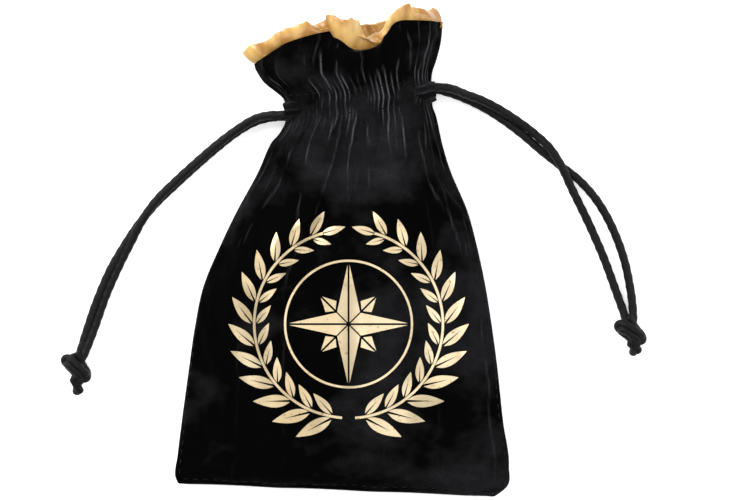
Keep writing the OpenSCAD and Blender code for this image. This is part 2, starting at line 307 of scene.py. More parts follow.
def foil_material():
    p = Paint("foil", (0.74, 0.62, 0.40), 0.42)
    p.fixed(Metallic=0.6, Specular_IOR_Level=0.4)
    painted_shading = p.noise(38, 3)
    grain = p.noise(1900, 2)
    wear = p.noise(900, 4)
    # Painted shading: broad noise shades the foil between a darker and a paler gold; the specks below are
    # wear.
    tone = p.ramp(painted_shading, (0.3, (0.50, 0.385, 0.22)), (0.7, (0.68, 0.57, 0.38)))
    speck = p.ramp(wear, (0.30, (0.6, 0.52, 0.38)), (0.38, (1, 1, 1)))
    p.colour(p.mix(1.0, tone, speck, "MULTIPLY"))
    p.rough(grain, 0.3, 0.5)
    p.bump((grain, 0.35, 0.00012), (p.noise(240, 2), 0.2, 0.0005))
    return p.material


def cord_material():
    p = Paint("cord", (0.012, 0.012, 0.013), 0.55)
    p.fixed(Sheen_Weight=0.02, Sheen_Roughness=0.35, Specular_IOR_Level=0.14)
    tones = (0.3, (0.0015, 0.0015, 0.0018)), (0.75, (0.007, 0.0068, 0.0078))
    return p.fibres(p.noise(2400, 3), tones, (0.42, 0.7), 0.00015)


def thread_material(name, deep, pale):
    p = Paint(name, pale, 0.6)
    p.fixed(Specular_IOR_Level=0.1)
    return p.fibres(p.noise(3000, 2), ((0.3, deep), (0.7, pale)), (0.45, 0.75), 0.0001)


VELVET = velvet_material()
# Each satin's deep tone is painted shadow and its pale tone painted highlight; the lining's are darker
# than the trim's.
SATIN = satin_material("satin", (0.36, 0.165, 0.028), (0.66, 0.42, 0.135))
LINING = satin_material("lining", (0.30, 0.14, 0.026), (0.55, 0.34, 0.10))
FOIL = foil_material()
CORD_PAINT = cord_material()
THREAD = thread_material("thread", (0.0012, 0.0012, 0.0014), (0.0045, 0.0045, 0.005))
TRIM_THREAD = thread_material("trim_thread", (0.42, 0.26, 0.07), (0.66, 0.44, 0.15))

# ---- helpers


def unit(v):
    v = np.asarray(v, float)
    return v / np.maximum(np.linalg.norm(v, axis=-1, keepdims=True), 1e-12)


def ease(x):
    x = np.clip(x, 0, 1)
    return x * x * (3 - 2 * x)


def through(keys, values, at):
    """A smooth curve through values at keys, read at the places in at."""
    keys, values, at = np.asarray(keys, float), np.asarray(values, float), np.asarray(at, float)
    slopes = np.gradient(values, keys, axis=0)
    i = np.clip(np.searchsorted(keys, at, side="right") - 1, 0, len(keys) - 2)
    h = keys[i + 1] - keys[i]
    t = (at - keys[i]) / h
    shape = (-1,) + (1,) * (values.ndim - 1)
    t, h = t.reshape(shape), h.reshape(shape)
    return (
        (2 * t**3 - 3 * t**2 + 1) * values[i]
        + (t**3 - 2 * t**2 + t) * h * slopes[i]
        + (3 * t**2 - 2 * t**3) * values[i + 1]
        + (t**3 - t**2) * h * slopes[i + 1]
    )


def curve(points, count):
    """A smooth curve through points, as count points."""
    keys = np.arange(len(points))
    return through(keys, points, np.linspace(0, keys[-1], count))


def lengths(points):
    return np.concatenate([[0], np.cumsum(np.linalg.norm(np.diff(points, axis=0), axis=1))])


def read_at(places, keys, points):
    """A line of points that lie at keys, read at other places along it."""
    return np.stack([np.interp(places, keys, points[:, k]) for k in range(3)], 1)


def even(points, count):
    """The same line as count points at equal steps along it."""
    s = lengths(points)
    return read_at(np.linspace(0, s[-1], count), s, points)


def turns(count):
    """The angles of count points around a ring."""
    return np.linspace(0, 2 * np.pi, count, endpoint=False)


def finished_mesh(name, data, material):
    """A smooth-shaded object of a mesh."""
    data.materials.append(material)
    data.polygons.foreach_set("use_smooth", [True] * len(data.polygons))
    return add_object(name, data)


def new_mesh(name, points, faces, material):
    data = bpy.data.meshes.new(name)
    data.from_pydata([tuple(p) for p in points], [], faces)
    data.update()
    return finished_mesh(name, data, material)


def grid_faces(rows, columns, around=False, flip=False):
    """Quads between rows of points, each row columns long, and closed around if asked."""
    faces = []
    for i in range(rows - 1):
        for j in range(columns if around else columns - 1):
            k = (j + 1) % columns
            face = (i * columns + j, i * columns + k, (i + 1) * columns + k, (i + 1) * columns + j)
            faces.append(face[::-1] if flip else face)
    return faces


def add_modifier(obj, kind, **settings):
    modifier = obj.modifiers.new(kind.lower(), kind)
    for key, value in settings.items():
        setattr(modifier, key, value)
    return modifier


def applied(obj):
    """obj with its modifiers applied to its mesh."""
    graph = bpy.context.evaluated_depsgraph_get()
    made = bpy.data.meshes.new_from_object(obj.evaluated_get(graph))
    old = obj.data
    obj.modifiers.clear()
    obj.data = made
    bpy.data.meshes.remove(old)
    return obj


def placed(piece, body, slot, *nodes):
    """Gives a piece its body and hides the CAD nodes that it stands for. Its slot is not used."""
    if nodes:
        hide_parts(*nodes)
    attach(piece, body)


def smooth_noise(x, seed):
    """Gentle noise along a line from a few fixed sine waves, from about -1 to 1."""
    rng = np.random.default_rng(seed)
    total = 0
    for k in range(5):
        pace = (rng.uniform(0.6, 1.9, 2) * rng.choice([-1, 1], 2))[0]
        total = total + np.sin(pace * x + rng.uniform(0, 2 * np.pi))
    return total / 3.2


# ---- cords

CORD = 3.0 * MM
STRAND_IN_CHANNEL = 19
STRAND_GAP = 0.3
NECK_HALF = 27
LANE = 1.7
SIGNS = {"left": -1, "right": 1}
RUN_HEIGHTS = {"front": 13.8, "back": 3.0}
RING_STEP = 0.32 * MM
RING_POINTS = 28
# The braid: its yarns, the length of one turn, and its core and relief as shares of the radius.
BRAID_YARNS, BRAID_PITCH = 8, 7.5 * MM
BRAID_CORE, BRAID_RELIEF = 0.86, 0.2
# A cord narrows to its cut end over this length.
ROPE_END = 0.5 * MM
# Where each strand runs after it leaves its side of the channel, in mm.
ROUTES = {
    ("left", "front"): [
        (-26, 47.4, 12.6), (-31.5, 46.2, 9), (-37.5, 42.8, 6), (-44.5, 37.7, 4.7), (-53, 30.4, 4.6),
        (-60, 24, 4.6), (-66.6, 17.4, 4.6), (-71.8, 10.2, 4), (-76, 2.4, 2.4), (-80.4, -6.2, 1.6),
        (-85, -16.6, 1.5), (-88.8, -27.4, 1.7), (-92, -36, 2.6), (-93.8, -40, 3.6),
    ],
    ("left", "back"): [
        (-26, 47.1, 2.3), (-32, 45.4, 1.6), (-38.5, 41.6, 1.5), (-45.6, 36, 1.5), (-53.4, 29.2, 1.5),
        (-60.6, 22.6, 1.5), (-67.6, 15.8, 1.5), (-73.6, 8.4, 1.5), (-79, 0.2, 1.5), (-83.8, -8.2, 1.5),
        (-88.4, -19, 1.5), (-91.8, -29, 1.5), (-94.2, -37, 2), (-95, -40, 3),
    ],
    ("right", "front"): [
        (38.5, 57, 12.4), (44, 55.2, 8.6), (50, 53.2, 5.6), (56.4, 50, 4.3), (63.4, 45.6, 2.8),
        (69.4, 41, 2.8), (74.6, 35.8, 4.4), (78.8, 29, 4.6), (82.6, 21, 3.2), (88.4, 9.4, 1.6),
        (94, -3.4, 1.5), (98.6, -16, 1.5), (101.2, -23.4, 2.4), (102, -27, 3.6),
    ],
    ("right", "back"): [
        (38.5, 56, 2.4), (45, 53.6, 1.5), (51.4, 50.4, 1.5), (58, 46.2, 1.5), (65, 40.9, 1.5),
        (71.4, 35.4, 1.5), (78, 30.2, 1.5), (85.4, 24.4, 1.5), (91.8, 16.9, 1.5), (97, 7.6, 1.5),
        (101.2, -3.6, 1.5), (103.6, -15, 1.5), (104.4, -23, 2.2), (104.2, -27, 3.4),
    ],
}
# One way round an overhand knot: along its heading, to its left, and up.
KNOT_PATH = [
    (-5.6, 0.0, 0.2), (-3.6, 0.5, -0.2), (-1.2, 1.1, -1.1), (1.4, 2.3, -1.6), (3.0, 2.6, 0.0),
    (2.0, 1.9, 2.0), (-0.4, 0.1, 2.5), (-2.6, -2.1, 1.7), (-3.4, -3.3, 0.0), (-2.1, -2.6, -1.7),
    (0.2, -0.9, -2.3), (2.3, 0.5, -1.3), (3.4, -0.2, 0.6), (4.6, -1.3, 0.4),
]
KNOTS = {"left": (flat(-95.2, -43), -80, 1), "right": (flat(103.6, -30), -70, 1)}
KNOT_RADIUS, KNOT_SPREAD = 1.42 * MM, 1.0 * MM
# How far both tails reach past the middle of the knot, and how far each leans across.
TAILS = {"left": (8.6, (-0.4, -1.9)), "right": (7.4, (-0.3, -1.1))}
# The tails start inside the knot, end this far apart, and lie one a little over the other.
TAIL_INSIDE, TAIL_APART, TAIL_LOW, TAIL_STEP, TAIL_ARCH = 1.2, 3.0, 1.6, 1.2, 0.5
KNOT_LIFT = 4.2 * MM
KNOT_SCALE = (1.02, 0.86, 1.0)


def frames(line):
    """The two crosswise directions at each point of a line, carried on without twist."""
    ahead = unit(np.gradient(line, axis=0))
    side = np.zeros_like(line)
    start = np.cross(ahead[0], UP)
    if np.linalg.norm(start) < 0.1:
        start = np.cross(ahead[0], neck_x)
    side[0] = unit(start)
    for i in range(1, len(line)):
        kept = side[i - 1] - ahead[i] * np.dot(side[i - 1], ahead[i])
        side[i] = unit(kept)
    return side, np.cross(ahead, side)


def add_tube(points, faces, line, wide, sides):
    """Adds a tube with closed ends to a mesh. wide is its radius, ring by ring."""
    side, up = frames(line)
    turn = turns(sides)
    ring = (
        line[:, None]
        + wide[..., None] * np.cos(turn)[None, :, None] * side[:, None]
        + wide[..., None] * np.sin(turn)[None, :, None] * up[:, None]
    )
    first = len(points)
    last = first + (len(line) - 1) * sides
    points.extend(ring.reshape(-1, 3))
    wall = grid_faces(len(line), sides, around=True)
    faces.extend(tuple(first + k for k in face) for face in wall)
    faces.append(tuple(range(first, first + sides))[::-1])
    faces.append(tuple(range(last, last + sides)))


def braid(turn, run):
    """Relief of a round braid, 0 in its gaps and 1 on its yarns."""
    a = BRAID_YARNS * turn + 4 * np.pi * run / BRAID_PITCH
    b = BRAID_YARNS * turn - 4 * np.pi * run / BRAID_PITCH
    one = np.abs(np.sin(a / 2)) * (0.78 + 0.22 * np.sin((a + b) / 2))
    other = np.abs(np.sin(b / 2)) * (0.78 - 0.22 * np.sin((a + b) / 2))
    return np.maximum(one, other)


def rope(name, lines, radius=CORD / 2):
    """Braided tubes along one or more lines, as one mesh."""
    points, faces = [], []
    for line in lines:
        line = even(line, max(int(lengths(line)[-1] / RING_STEP), 12))
        run = lengths(line)
        relief = braid(turns(RING_POINTS)[None, :], run[:, None])
        wide = radius * (BRAID_CORE + BRAID_RELIEF * relief)
        ends = np.minimum(run, run[-1] - run)
        wide = wide * np.sqrt(np.clip(0.72 + 0.28 * ends / ROPE_END, 0, 1))[:, None]
        add_tube(points, faces, line, wide, RING_POINTS)
    return new_mesh(name, np.array(points), faces, CORD_PAINT)


def lane(side, out, height):
    """A point on a side's lane through the channel, so far out from the middle towards that side."""
    return neck(SIGNS[side] * out, SIGNS[side] * LANE, height)


def strand_line(side, run):
    out = (NECK_HALF - STRAND_IN_CHANNEL, NECK_HALF - 10, NECK_HALF - 1)
    points = [lane(side, x, RUN_HEIGHTS[run]) for x in out]
    points += [flat(*p) for p in ROUTES[side, run]]
    return even(curve(points, 600), 400)


def knot_axes(side):
    centre, heading, hand = KNOTS[side]
    a = math.radians(heading)
    ahead = np.array([math.cos(a), math.sin(a), 0])
    across = np.array([-math.sin(a), math.cos(a), 0]) * hand
    return centre + UP * KNOT_LIFT, ahead, across


def knot_lines(side):
    """The two strands side by side, round the overhand knot."""
    centre, ahead, across = knot_axes(side)
    local = curve(KNOT_PATH, 240) * KNOT_SCALE
    middle = centre + (local[:, :1] * ahead + local[:, 1:2] * across + local[:, 2:] * UP) * MM
    tangent = unit(np.gradient(middle, axis=0))
    spread = unit(np.cross(tangent, UP) + 1e-6 * across)
    for _ in range(30):
        spread[1:-1] = (spread[:-2] + 2 * spread[1:-1] + spread[2:]) / 4
    spread = unit(spread)
    return [middle + spread * k * KNOT_SPREAD for k in (-1, 1)]


def make_knot(side):
    """The knot and the two tails under it, which ride with the cord's free end."""
    knot = rope(f"{side}_knot_rope", knot_lines(side), radius=KNOT_RADIUS)
    ends = [line[-1] for line in knot_lines(side)]
    centre, ahead, across = knot_axes(side)
    reach, leans = TAILS[side]
    tails = []
    for k, lean in enumerate(leans):
        start = ends[k] - ahead * TAIL_INSIDE * MM
        finish = centre + ahead * reach * MM + across * (lean + (k - 0.5) * TAIL_APART) * MM
        finish[2] = (TAIL_LOW + TAIL_STEP * k) * MM
        middle = (start + finish) / 2 + UP * TAIL_ARCH * MM
        tails.append(curve([start, middle, finish], 30))
    tail = rope(f"{side}_cord_tails", tails)
    placed(knot, f"{side}_cord", "cord", f"{side}_knot")
    placed(tail, f"{side}_cord", "cord", f"{side}_tails")
    return [knot, tail]


def make_strand(side, run):
    """One of the two strands between the channel and the knot."""
    line = strand_line(side, run)
    strand = rope(f"{side}_{run}_cord", [line])
    placed(strand, f"{side}_cord", "cord", f"{side}_{run}_strand")


def make_channel_loop(side):
    """The part of the cord that stays in the channel: out along the front, round, and back."""
    low, high = RUN_HEIGHTS["back"], RUN_HEIGHTS["front"]
    bend, mid = (high - low) / 2, (high + low) / 2
    near, far = NECK_HALF - STRAND_IN_CHANNEL - STRAND_GAP, mid - NECK_HALF
    loop = [lane(side, x, high) for x in np.linspace(near, far, 30)[:-1]]
    for a in np.linspace(0, math.pi, 24):
        loop.append(lane(side, far - bend * math.sin(a), mid + bend * math.cos(a)))
    loop += [lane(side, x, low) for x in np.linspace(far, near, 30)[1:]]
    inner = rope(f"{side}_cord_in_channel", [np.array(loop)])
    placed(inner, "pouch", "cord", f"{side}_channel_loop")


for cord_side in ("left", "right"):
    knot_pieces = make_knot(cord_side)
    for cord_run in ("front", "back"):
        make_strand(cord_side, cord_run)
    make_channel_loop(cord_side)

# ---- the cloth of the bag

# Points across the bag: on the grids of cloth, on the lines they are laid over, and on the folds.
COLUMNS = 161
SECTION = 161
FOLD_POINTS = 601
ROW_STEP = 1.2 * MM
VELVET_THICK = 1.1 * MM
LINING_THICK = 0.4 * MM
LINING_GAP = 2.0 * MM
LINING_START = 4
LINING_CLEAR = 0.3 * MM
LINING_UNDER = 1.35 * MM
LINING_DEEPEST = 4.0 * MM
# How far inside the velvet's side edges the two linings are sewn together.
SEAM_INSET = 1.3 * MM
CREST_SHARP = 0.16
FLOOR_GAP = 0.15
# The simulation runs at ten times the size, with the cloth this much too long.
SIM_SCALE = 10
SIM_EXTRA = 0.010
SIM_HOLD = 0.02
SIM_FRAMES = 24
SIM_CAP = 3.0 * MM
SIM_CLOTH = {
    "quality": 6,
    "mass": 0.25,
    "tension_stiffness": 18,
    "compression_stiffness": 18,
    "shear_stiffness": 8,
    "bending_stiffness": 1.4,
    "air_damping": 4,
    "shrink_min": -SIM_EXTRA,
    "pin_stiffness": 0.8,
}
# The hold is full within HOLD_NECK mm of the channel and fades over HOLD_FADE. At the mouth and the
# bottom it fades over so many mm, and at the sides over so many columns.
HOLD_NECK, HOLD_FADE, HOLD_MOUTH, HOLD_BOTTOM, HOLD_SIDES = 6, 18, 5, 3, 4

# Stations from the bottom seam towards the mouth. Each has its left and right end, the height of the
# seam, the height of the front, how far the front takes to round off at the sides, and the slack of
# the front and of the back: how much longer the cloth is than the line that it is gathered to.
STATIONS = [
    (flat(-59.0, -84.3), flat(54.5, -89), 3.0, 3.3, 20, 0.002, 0.001),
    (flat(-60, -82.0), flat(58.4, -86.2), 3.0, 5.6, 22, 0.002, 0.001),
    (flat(-59.2, -74), flat(59.8, -78), 3.0, 8.0, 26, 0.003, 0.002),
    (flat(-57.6, -61), flat(57.7, -62), 3.0, 10.6, 32, 0.004, 0.003),
    (flat(-55.3, -44), flat(55.8, -44), 3.0, 12.6, 36, 0.006, 0.005),
    (flat(-53, -28), flat(53.7, -28), 3.0, 14.0, 36, 0.010, 0.008),
    (flat(-49.8, -13), flat(51.1, -12), 3.0, 15.0, 34, 0.018, 0.014),
    (flat(-44.4, 0), flat(48.3, 1), 3.0, 15.5, 30, 0.035, 0.03),
    (flat(-38.2, 13), flat(44.9, 13.5), 3.4, 16.0, 26, 0.075, 0.07),
    (flat(-30.2, 27.6), flat(38.6, 28.4), 4.5, 16.4, 19, 0.24, 0.2),
    (flat(-25.4, 38), flat(35.5, 38.6), 6.2, 16.6, 12, 0.46, 0.4),
    (neck(-29.4, -7), neck(26.3, -7.6), 7.6, 16.8, 9, 0.80, 0.7),
    (neck(-27.4, -4.2), neck(25.5, -4.6), 8.4, 16.6, 8, 0.95, 0.8),
    (neck(-27, 0), neck(26.4, 0), 8.4, 17.8, 8.4, 0.92, 0.8),
    (neck(-26.8, 4.2), neck(26.2, 4.0), 8.4, 16.6, 8, 0.92, 0.8),
    (neck(-29, 6.8), neck(26.8, 7.0), 8.0, 16.9, 9, 0.75, 0.66),
    (neck(-33, 10.8), neck(28.7, 11), 7.0, 17.2, 10, 0.52, 0.45),
    (neck(-35.2, 15), neck(30.9, 16.4), 6.0, 17.2, 11, 0.38, 0.3),
]
# The velvet's edge and the trim's top, left to right on the neck's axes, with heights.
VELVET_EDGE = [
    (-36, 18.3, 5.0), (-33.5, 19.8, 9), (-30, 21.5, 12), (-23, 23.8, 15), (-12, 25.7, 16),
    (-6.5, 25.8, 16.5), (-4, 22.6, 15.5), (0, 18.8, 13.5), (4, 18.2, 13), (8.5, 21, 14),
    (13, 24.8, 16), (17.6, 26.4, 16.5), (25, 25.8, 15.5), (31, 25.1, 11), (33, 25, 5),
]
TRIM_TOP = [
    (-39.7, 22.7, 5.0), (-37.4, 23.9, 9), (-31, 25.1, 12.5), (-26, 27.6, 15), (-20, 29.1, 15.5),
    (-15, 29.8, 16.5), (-10.4, 30.0, 16), (-8.2, 31.4, 16.5), (-3.4, 28.8, 17.5), (1.6, 28.4, 17),
    (4.2, 26.4, 16), (5.2, 23.4, 13.5), (9.2, 24.8, 14), (12.6, 27.9, 16), (18.3, 31, 17),
    (21, 31.8, 17), (23, 30.6, 16.5), (28, 30.2, 12.5), (30.8, 30.2, 5),
]
BACK_EDGE = [
    (-36, 18.3, 5.0), (-31, 20.2, 1.4), (-15, 21.5, 0.7), (0, 21.5, 0.7), (10, 22, 0.7),
    (20, 23, 0.7), (29, 24.4, 1.4), (33, 25, 5),
]
BACK_TOP = [
    (-39.7, 22.7, 5.0), (-35, 25, 1.6), (-20, 27.2, 0.9), (-6, 27.4, 0.9), (4, 27.5, 0.9),
    (10, 27.6, 0.9), (20, 28.6, 0.9), (28, 30, 1.6), (30.8, 30.4, 5),
]
EDGES = {1: VELVET_EDGE, -1: BACK_EDGE}
TRIM_TOPS = {1: TRIM_TOP, -1: BACK_TOP}
EDGE_SLACK = 0.26
# How much deeper the trim's hem reaches inside the mouth than outside.
HEM_INSIDE = 3.0
TRIM_THICK, TRIM_TUCKED = 1.5 * MM, 0.12
TRIM_LOWEST = 0.8 * MM
# The slack of the trim's top against the velvet edge's, in front (1) and at the back (-1).
TRIM_SLACK = {1: 1.15, -1: 0.8}
TRIM_PITCH, TRIM_THREAD_RADIUS = 2.6 * MM, 0.22 * MM
STITCH_RINGS, STITCH_SIDES = 7, 8
# The trim's broad crinkles and the small puckers at its stitches: how dense, and how deep in mm.
CRINKLES, CRINKLE_DEPTH = 34, 0.95
PUCKERS, PUCKER_DEPTH = 120, 0.14
# Folds that the gathered neck sends up and down the cloth: the place across it, from 0 to 1, the
# depth against the others, and how far each reaches towards the bottom and towards the mouth.
FOLDS = [
    (0.045, 0.8, 14, 10), (0.115, 1.0, 22, 22), (0.185, 0.9, 12, 8), (0.245, 1.1, 34, 20),
    (0.315, 0.9, 14, 24), (0.400, 1.1, 20, 34), (0.455, 0.8, 52, 8), (0.520, 1.2, 26, 9),
    (0.585, 1.1, 12, 34), (0.640, 0.9, 30, 10), (0.700, 1.1, 16, 28), (0.765, 0.9, 40, 9),
    (0.835, 1.0, 14, 22), (0.895, 0.9, 26, 12), (0.955, 0.8, 12, 18),
]
FOLD_WIDTH = 0.018
# Small pleats between the folds die out within this many mm of the channel.
PLEAT_DEPTH, PLEAT_REACH = 0.85, 7
NECK_AT = 13
# The deepest that a fold goes at distances from the channel, towards the bottom and the mouth, in mm.
DEEPEST = [
    (-150, 0.3), (-100, 0.6), (-60, 1.6), (-35, 3.4), (-18, 3.6), (-8, 2.4), (-4.2, 1.6), (0, 1.9),
    (4.2, 1.6), (8, 2.6), (15, 4.0), (25, 4.6), (32, 4.6),
]


def section(left, right, seam, height, bend):
    """One line over the bag from its left edge to its right edge, with rounded ends."""
    run = right - left
    run[2] = 0
    half = np.linalg.norm(run) / 2
    along = run / (2 * half)
    middle = (left + right) / 2
    bend = min(bend * MM, half * 0.98)
    angle = np.linspace(0, math.pi / 2, 40)
    x = half - bend + bend * np.cos(angle)
    z = (height - seam) * MM * np.sin(angle)
    x = np.concatenate([-x, np.linspace(-half + bend, half - bend, 40)[1:-1], x[::-1]])
    z = np.concatenate([z, np.full(38, z[-1]), z[::-1]])
    line = middle + x[:, None] * along + (z + seam * MM)[:, None] * UP
    return even(line, SECTION)


def edge(points):
    return even(curve([neck(*p) for p in points], 500), SECTION)


def station_lines(side):
    """The lines over all stations and the cloth's edge, for the front (1) or the back (-1)."""
    lines = []
    for left, right, seam, height, bend, _, _ in STATIONS:
        if side > 0:
            lines.append(section(left, right, seam, height, bend))
        else:
            low = (seam, seam / 3)[len(lines)] if len(lines) < 2 else FLOOR_GAP
            lines.append(section(left, right, seam, low, min(bend, seam + 4)))
    lines.append(edge(EDGES[side]))
    return np.array(lines)


def station_keys():
    """How far along the bag each station lies, from its seams in plan."""
    ends = [(s[0] + s[1]) / 2 for s in STATIONS]
    ends.append((neck(*VELVET_EDGE[0]) + neck(*VELVET_EDGE[-1])) / 2)
    ends = np.array(ends)
    ends[:, 2] = 0
    keys = lengths(ends)
    keys[-1] += 3 * MM
    return keys


KEYS = station_keys()
ROWS = int(KEYS[-1] / ROW_STEP) + 1
ALONG = np.linspace(0, KEYS[-1], ROWS)


def fold_wave(across, along, side):
    """How deep the folds are, against each other, at places across a row and a place along the bag."""
    away = (along - KEYS[NECK_AT]) / MM
    deep = np.zeros_like(across)
    for k, (place, depth, down, up) in enumerate(FOLDS):
        if side < 0:
            place, down, up = 1 - place + 0.012 * math.sin(3.7 * k), down * 0.8, up * 0.8
        reach = up if away > 0 else down
        there = abs(away) / reach
        share = depth * math.exp(-there * there)
        drift = 0.0009 * away * math.sin(2.1 * k + 1) if away < 0 else 0.0006 * away * math.cos(1.7 * k)
        wide = FOLD_WIDTH * (1 + 0.9 * there) * (1 + abs(away) / 60)
        gap = (across - place - drift) / wide
        deep += share / (1 + gap**4)
        following = FOLDS[(k + 1) % len(FOLDS)][0]
        if following > FOLDS[k][0]:
            between = (following - FOLDS[k][0]) / 2 * side
            gap = (across - place - between) / (wide * 0.8)
            deep += PLEAT_DEPTH * math.exp(-(away / PLEAT_REACH) ** 2) / (1 + gap**4)
    swing = away * 0.012
    broad = 0.5 - 0.5 * np.cos(2 * np.pi * (3.4 * across + 0.15 * np.sin(swing) + 0.1))
    small = 0.5 - 0.5 * np.cos(2 * np.pi * (6.7 * across + 0.2 * np.sin(swing * 2 + 1)))
    deep += (0.10 if side > 0 else 0.2) * broad + 0.035 * small
    calm = ease(across / 0.035) * ease((1 - across) / 0.035)
    return deep * calm


def deepest(along):
    away = [d for d, _ in DEEPEST]
    return float(np.interp((along - KEYS[NECK_AT]) / MM, away, [x for _, x in DEEPEST])) * MM


def gathered(line, slack, wave, deepest):
    """Places along a line, and depths, for cloth that is longer than the line by its slack."""
    reach = lengths(line)[-1]
    cloth = reach * (1 + slack)
    step = cloth / (len(wave) - 1)
    slope = np.gradient(wave, step)
    low, high = 0.0, deepest / max(wave.max(), 0.01)
    for _ in range(40):
        depth = (low + high) / 2
        advance = np.sqrt(np.clip(1 - (depth * slope) ** 2, 0.04, 1))
        if advance.mean() * cloth > reach:
            low = depth
        else:
            high = depth
    places = np.concatenate([[0], np.cumsum((advance[1:] + advance[:-1]) / 2)])
    return places / places[-1], depth * wave


def draped(side):
    """The grid of points of one side of the bag, as rows from the bottom to the mouth."""
    lines = station_lines(side)
    slack = [s[5 if side > 0 else 6] for s in STATIONS] + [EDGE_SLACK]
    rows = through(KEYS, lines, ALONG)
    slacks = np.maximum(through(KEYS, np.array(slack), ALONG), 0.0008)
    over = np.gradient(rows, axis=1)
    up = np.gradient(rows, axis=0)
    out = unit(np.cross(over, up)) * side
    # At the mouth the folds go straight in, and not along the bag.
    tilt = (out * neck_y).sum(-1, keepdims=True)
    level = ease((ALONG - KEYS[-4]) / (KEYS[-2] - KEYS[-4]))[:, None, None]
    out = unit(out - neck_y * tilt * level)
    fine = np.linspace(0, 1, FOLD_POINTS)
    grid = np.zeros((ROWS, COLUMNS, 3))
    normal = np.zeros((ROWS, COLUMNS, 3))
    deeps = np.zeros((ROWS, COLUMNS))
    at = np.linspace(0, 1, COLUMNS)
    share = np.linspace(0, 1, SECTION)
    for i in range(ROWS):
        wave = fold_wave(fine, ALONG[i], side)
        places, depths = gathered(rows[i], slacks[i], wave, deepest(ALONG[i]))
        deeps[i] = np.interp(at, fine, depths)
        place = np.interp(at, fine, places)
        normal[i] = unit(read_at(place, share, out[i]))
        grid[i] = read_at(place, share, rows[i]) - normal[i] * deeps[i][:, None]
    away = np.abs(ALONG - KEYS[NECK_AT]) / MM
    soften = (0.5 * ease((away - 6) / 8))[1:-1, None, None]
    for _ in range(3):
        beside = (grid[1:-1, :-2] + grid[1:-1, 2:] + grid[:-2, 1:-1] + grid[2:, 1:-1]) / 4
        grid[1:-1, 1:-1] += soften * (beside - grid[1:-1, 1:-1])
        grid[-1, 1:-1] += (grid[-1, :-2] + grid[-1, 2:] - 2 * grid[-1, 1:-1]) / 4
    return grid, normal, deeps


def relaxed(grid, side):
    """The cloth after it has settled. It is a little too long for its seams, as real cloth is, so a
    cloth simulation held at the seams, the channel and the mouth puckers it between them."""
    big = SIM_SCALE
    faces = grid_faces(grid.shape[0], grid.shape[1], flip=side < 0)
    cloth = new_mesh("settling_cloth", grid.reshape(-1, 3) * big, faces, VELVET)
    away = (ALONG - KEYS[NECK_AT]) / MM
    rows = ease(1 - (np.abs(away) - HOLD_NECK) / HOLD_FADE)
    rows = np.maximum(rows, ease(1 - (KEYS[-1] - ALONG) / (HOLD_MOUTH * MM)))
    rows = np.maximum(rows, ease(1 - ALONG / (HOLD_BOTTOM * MM)))
    across = np.minimum(np.arange(COLUMNS), COLUMNS - 1 - np.arange(COLUMNS))
    columns = ease(1 - across / HOLD_SIDES)
    hold = np.maximum(rows[:, None], columns[None, :])
    hold = SIM_HOLD + (1 - SIM_HOLD) * hold
    group = cloth.vertex_groups.new(name="held")
    for k, weight in enumerate(hold.ravel()):
        group.add([k], float(weight), "REPLACE")
    modifier = add_modifier(cloth, "CLOTH")
    for key, value in SIM_CLOTH.items():
        setattr(modifier.settings, key, value)
    modifier.settings.vertex_group_mass = group.name
    modifier.settings.effector_weights.gravity = 0
    modifier.point_cache.frame_start = 1
    modifier.point_cache.frame_end = SIM_FRAMES
    scene = bpy.context.scene
    for frame_number in range(1, SIM_FRAMES + 1):
        scene.frame_set(frame_number)
    graph = bpy.context.evaluated_depsgraph_get()
    settled = cloth.evaluated_get(graph)
    points = np.zeros(len(settled.data.vertices) * 3)
    settled.data.vertices.foreach_get("co", points)
    moved = points.reshape(grid.shape) / big - grid
    data = cloth.data
    bpy.data.objects.remove(cloth)
    bpy.data.meshes.remove(data)
    scene.frame_set(1)
    far = np.linalg.norm(moved, axis=-1, keepdims=True)
    moved = moved * np.minimum(1, SIM_CAP / np.maximum(far, 1e-9))
    moved[[0, -1]] = 0
    moved[:, [0, -1]] = 0
    settled_grid = grid + moved
    settled_grid[..., 2] = np.maximum(settled_grid[..., 2], FLOOR_GAP * MM)
    return settled_grid


def crests(grid, normal):
    """Lines along the tops of the folds, from 0 to 1, where the velvet's material paints a highlight."""
    ridge = np.zeros(grid.shape[:2])
    for step in (1, 2):
        middle = grid[:, step:-step]
        beside = (grid[:, : -2 * step] + grid[:, 2 * step :]) / 2
        apart = np.linalg.norm(grid[:, 2 * step :] - grid[:, : -2 * step], axis=-1) / 2
        ridge[:, step:-step] += ((middle - beside) * normal[:, step:-step]).sum(-1) / apart / 2
    top = np.zeros_like(ridge)
    highest = ridge[:, 1:-1] >= np.maximum(ridge[:, :-2], ridge[:, 2:])
    top[:, 1:-1] = np.where(highest, np.clip(ridge[:, 1:-1] / CREST_SHARP, 0, 1), 0)
    top[1:-1] = (top[:-2] + 2 * top[1:-1] + top[2:]) / 4
    top[:, :4] = 0
    top[:, -4:] = 0
    return top


def mark_crests(obj, values):
    """Writes the crest lines on a piece, where the velvet's material reads them as painted highlights."""
    layer = obj.data.attributes.new("crest", "FLOAT", "POINT")
    layer.data.foreach_set("value", values.ravel().astype(np.float32))


def cloth_piece(name, grid, thick, material, side, fine=1, crest=None):
    """A sheet with thickness over a grid of points, whose given side is its outer face."""
    faces = grid_faces(grid.shape[0], grid.shape[1], flip=side < 0)
    obj = new_mesh(name, grid.reshape(-1, 3), faces, material)
    if crest is not None:
        mark_crests(obj, crest)
    if fine:
        add_modifier(obj, "SUBSURF", levels=fine, render_levels=fine)
    add_modifier(obj, "SOLIDIFY", thickness=thick, offset=-1)
    return applied(obj)


def nearby(values, pick, across, along):
    """At each point of a grid the least or the greatest of the values around it."""
    padded = np.pad(values, ((along, along), (across, across)), mode="edge")
    result = values
    for i in range(2 * along + 1):
        for j in range(2 * across + 1):
            result = pick(result, padded[i : i + len(values), j : j + values.shape[1]])
    return result


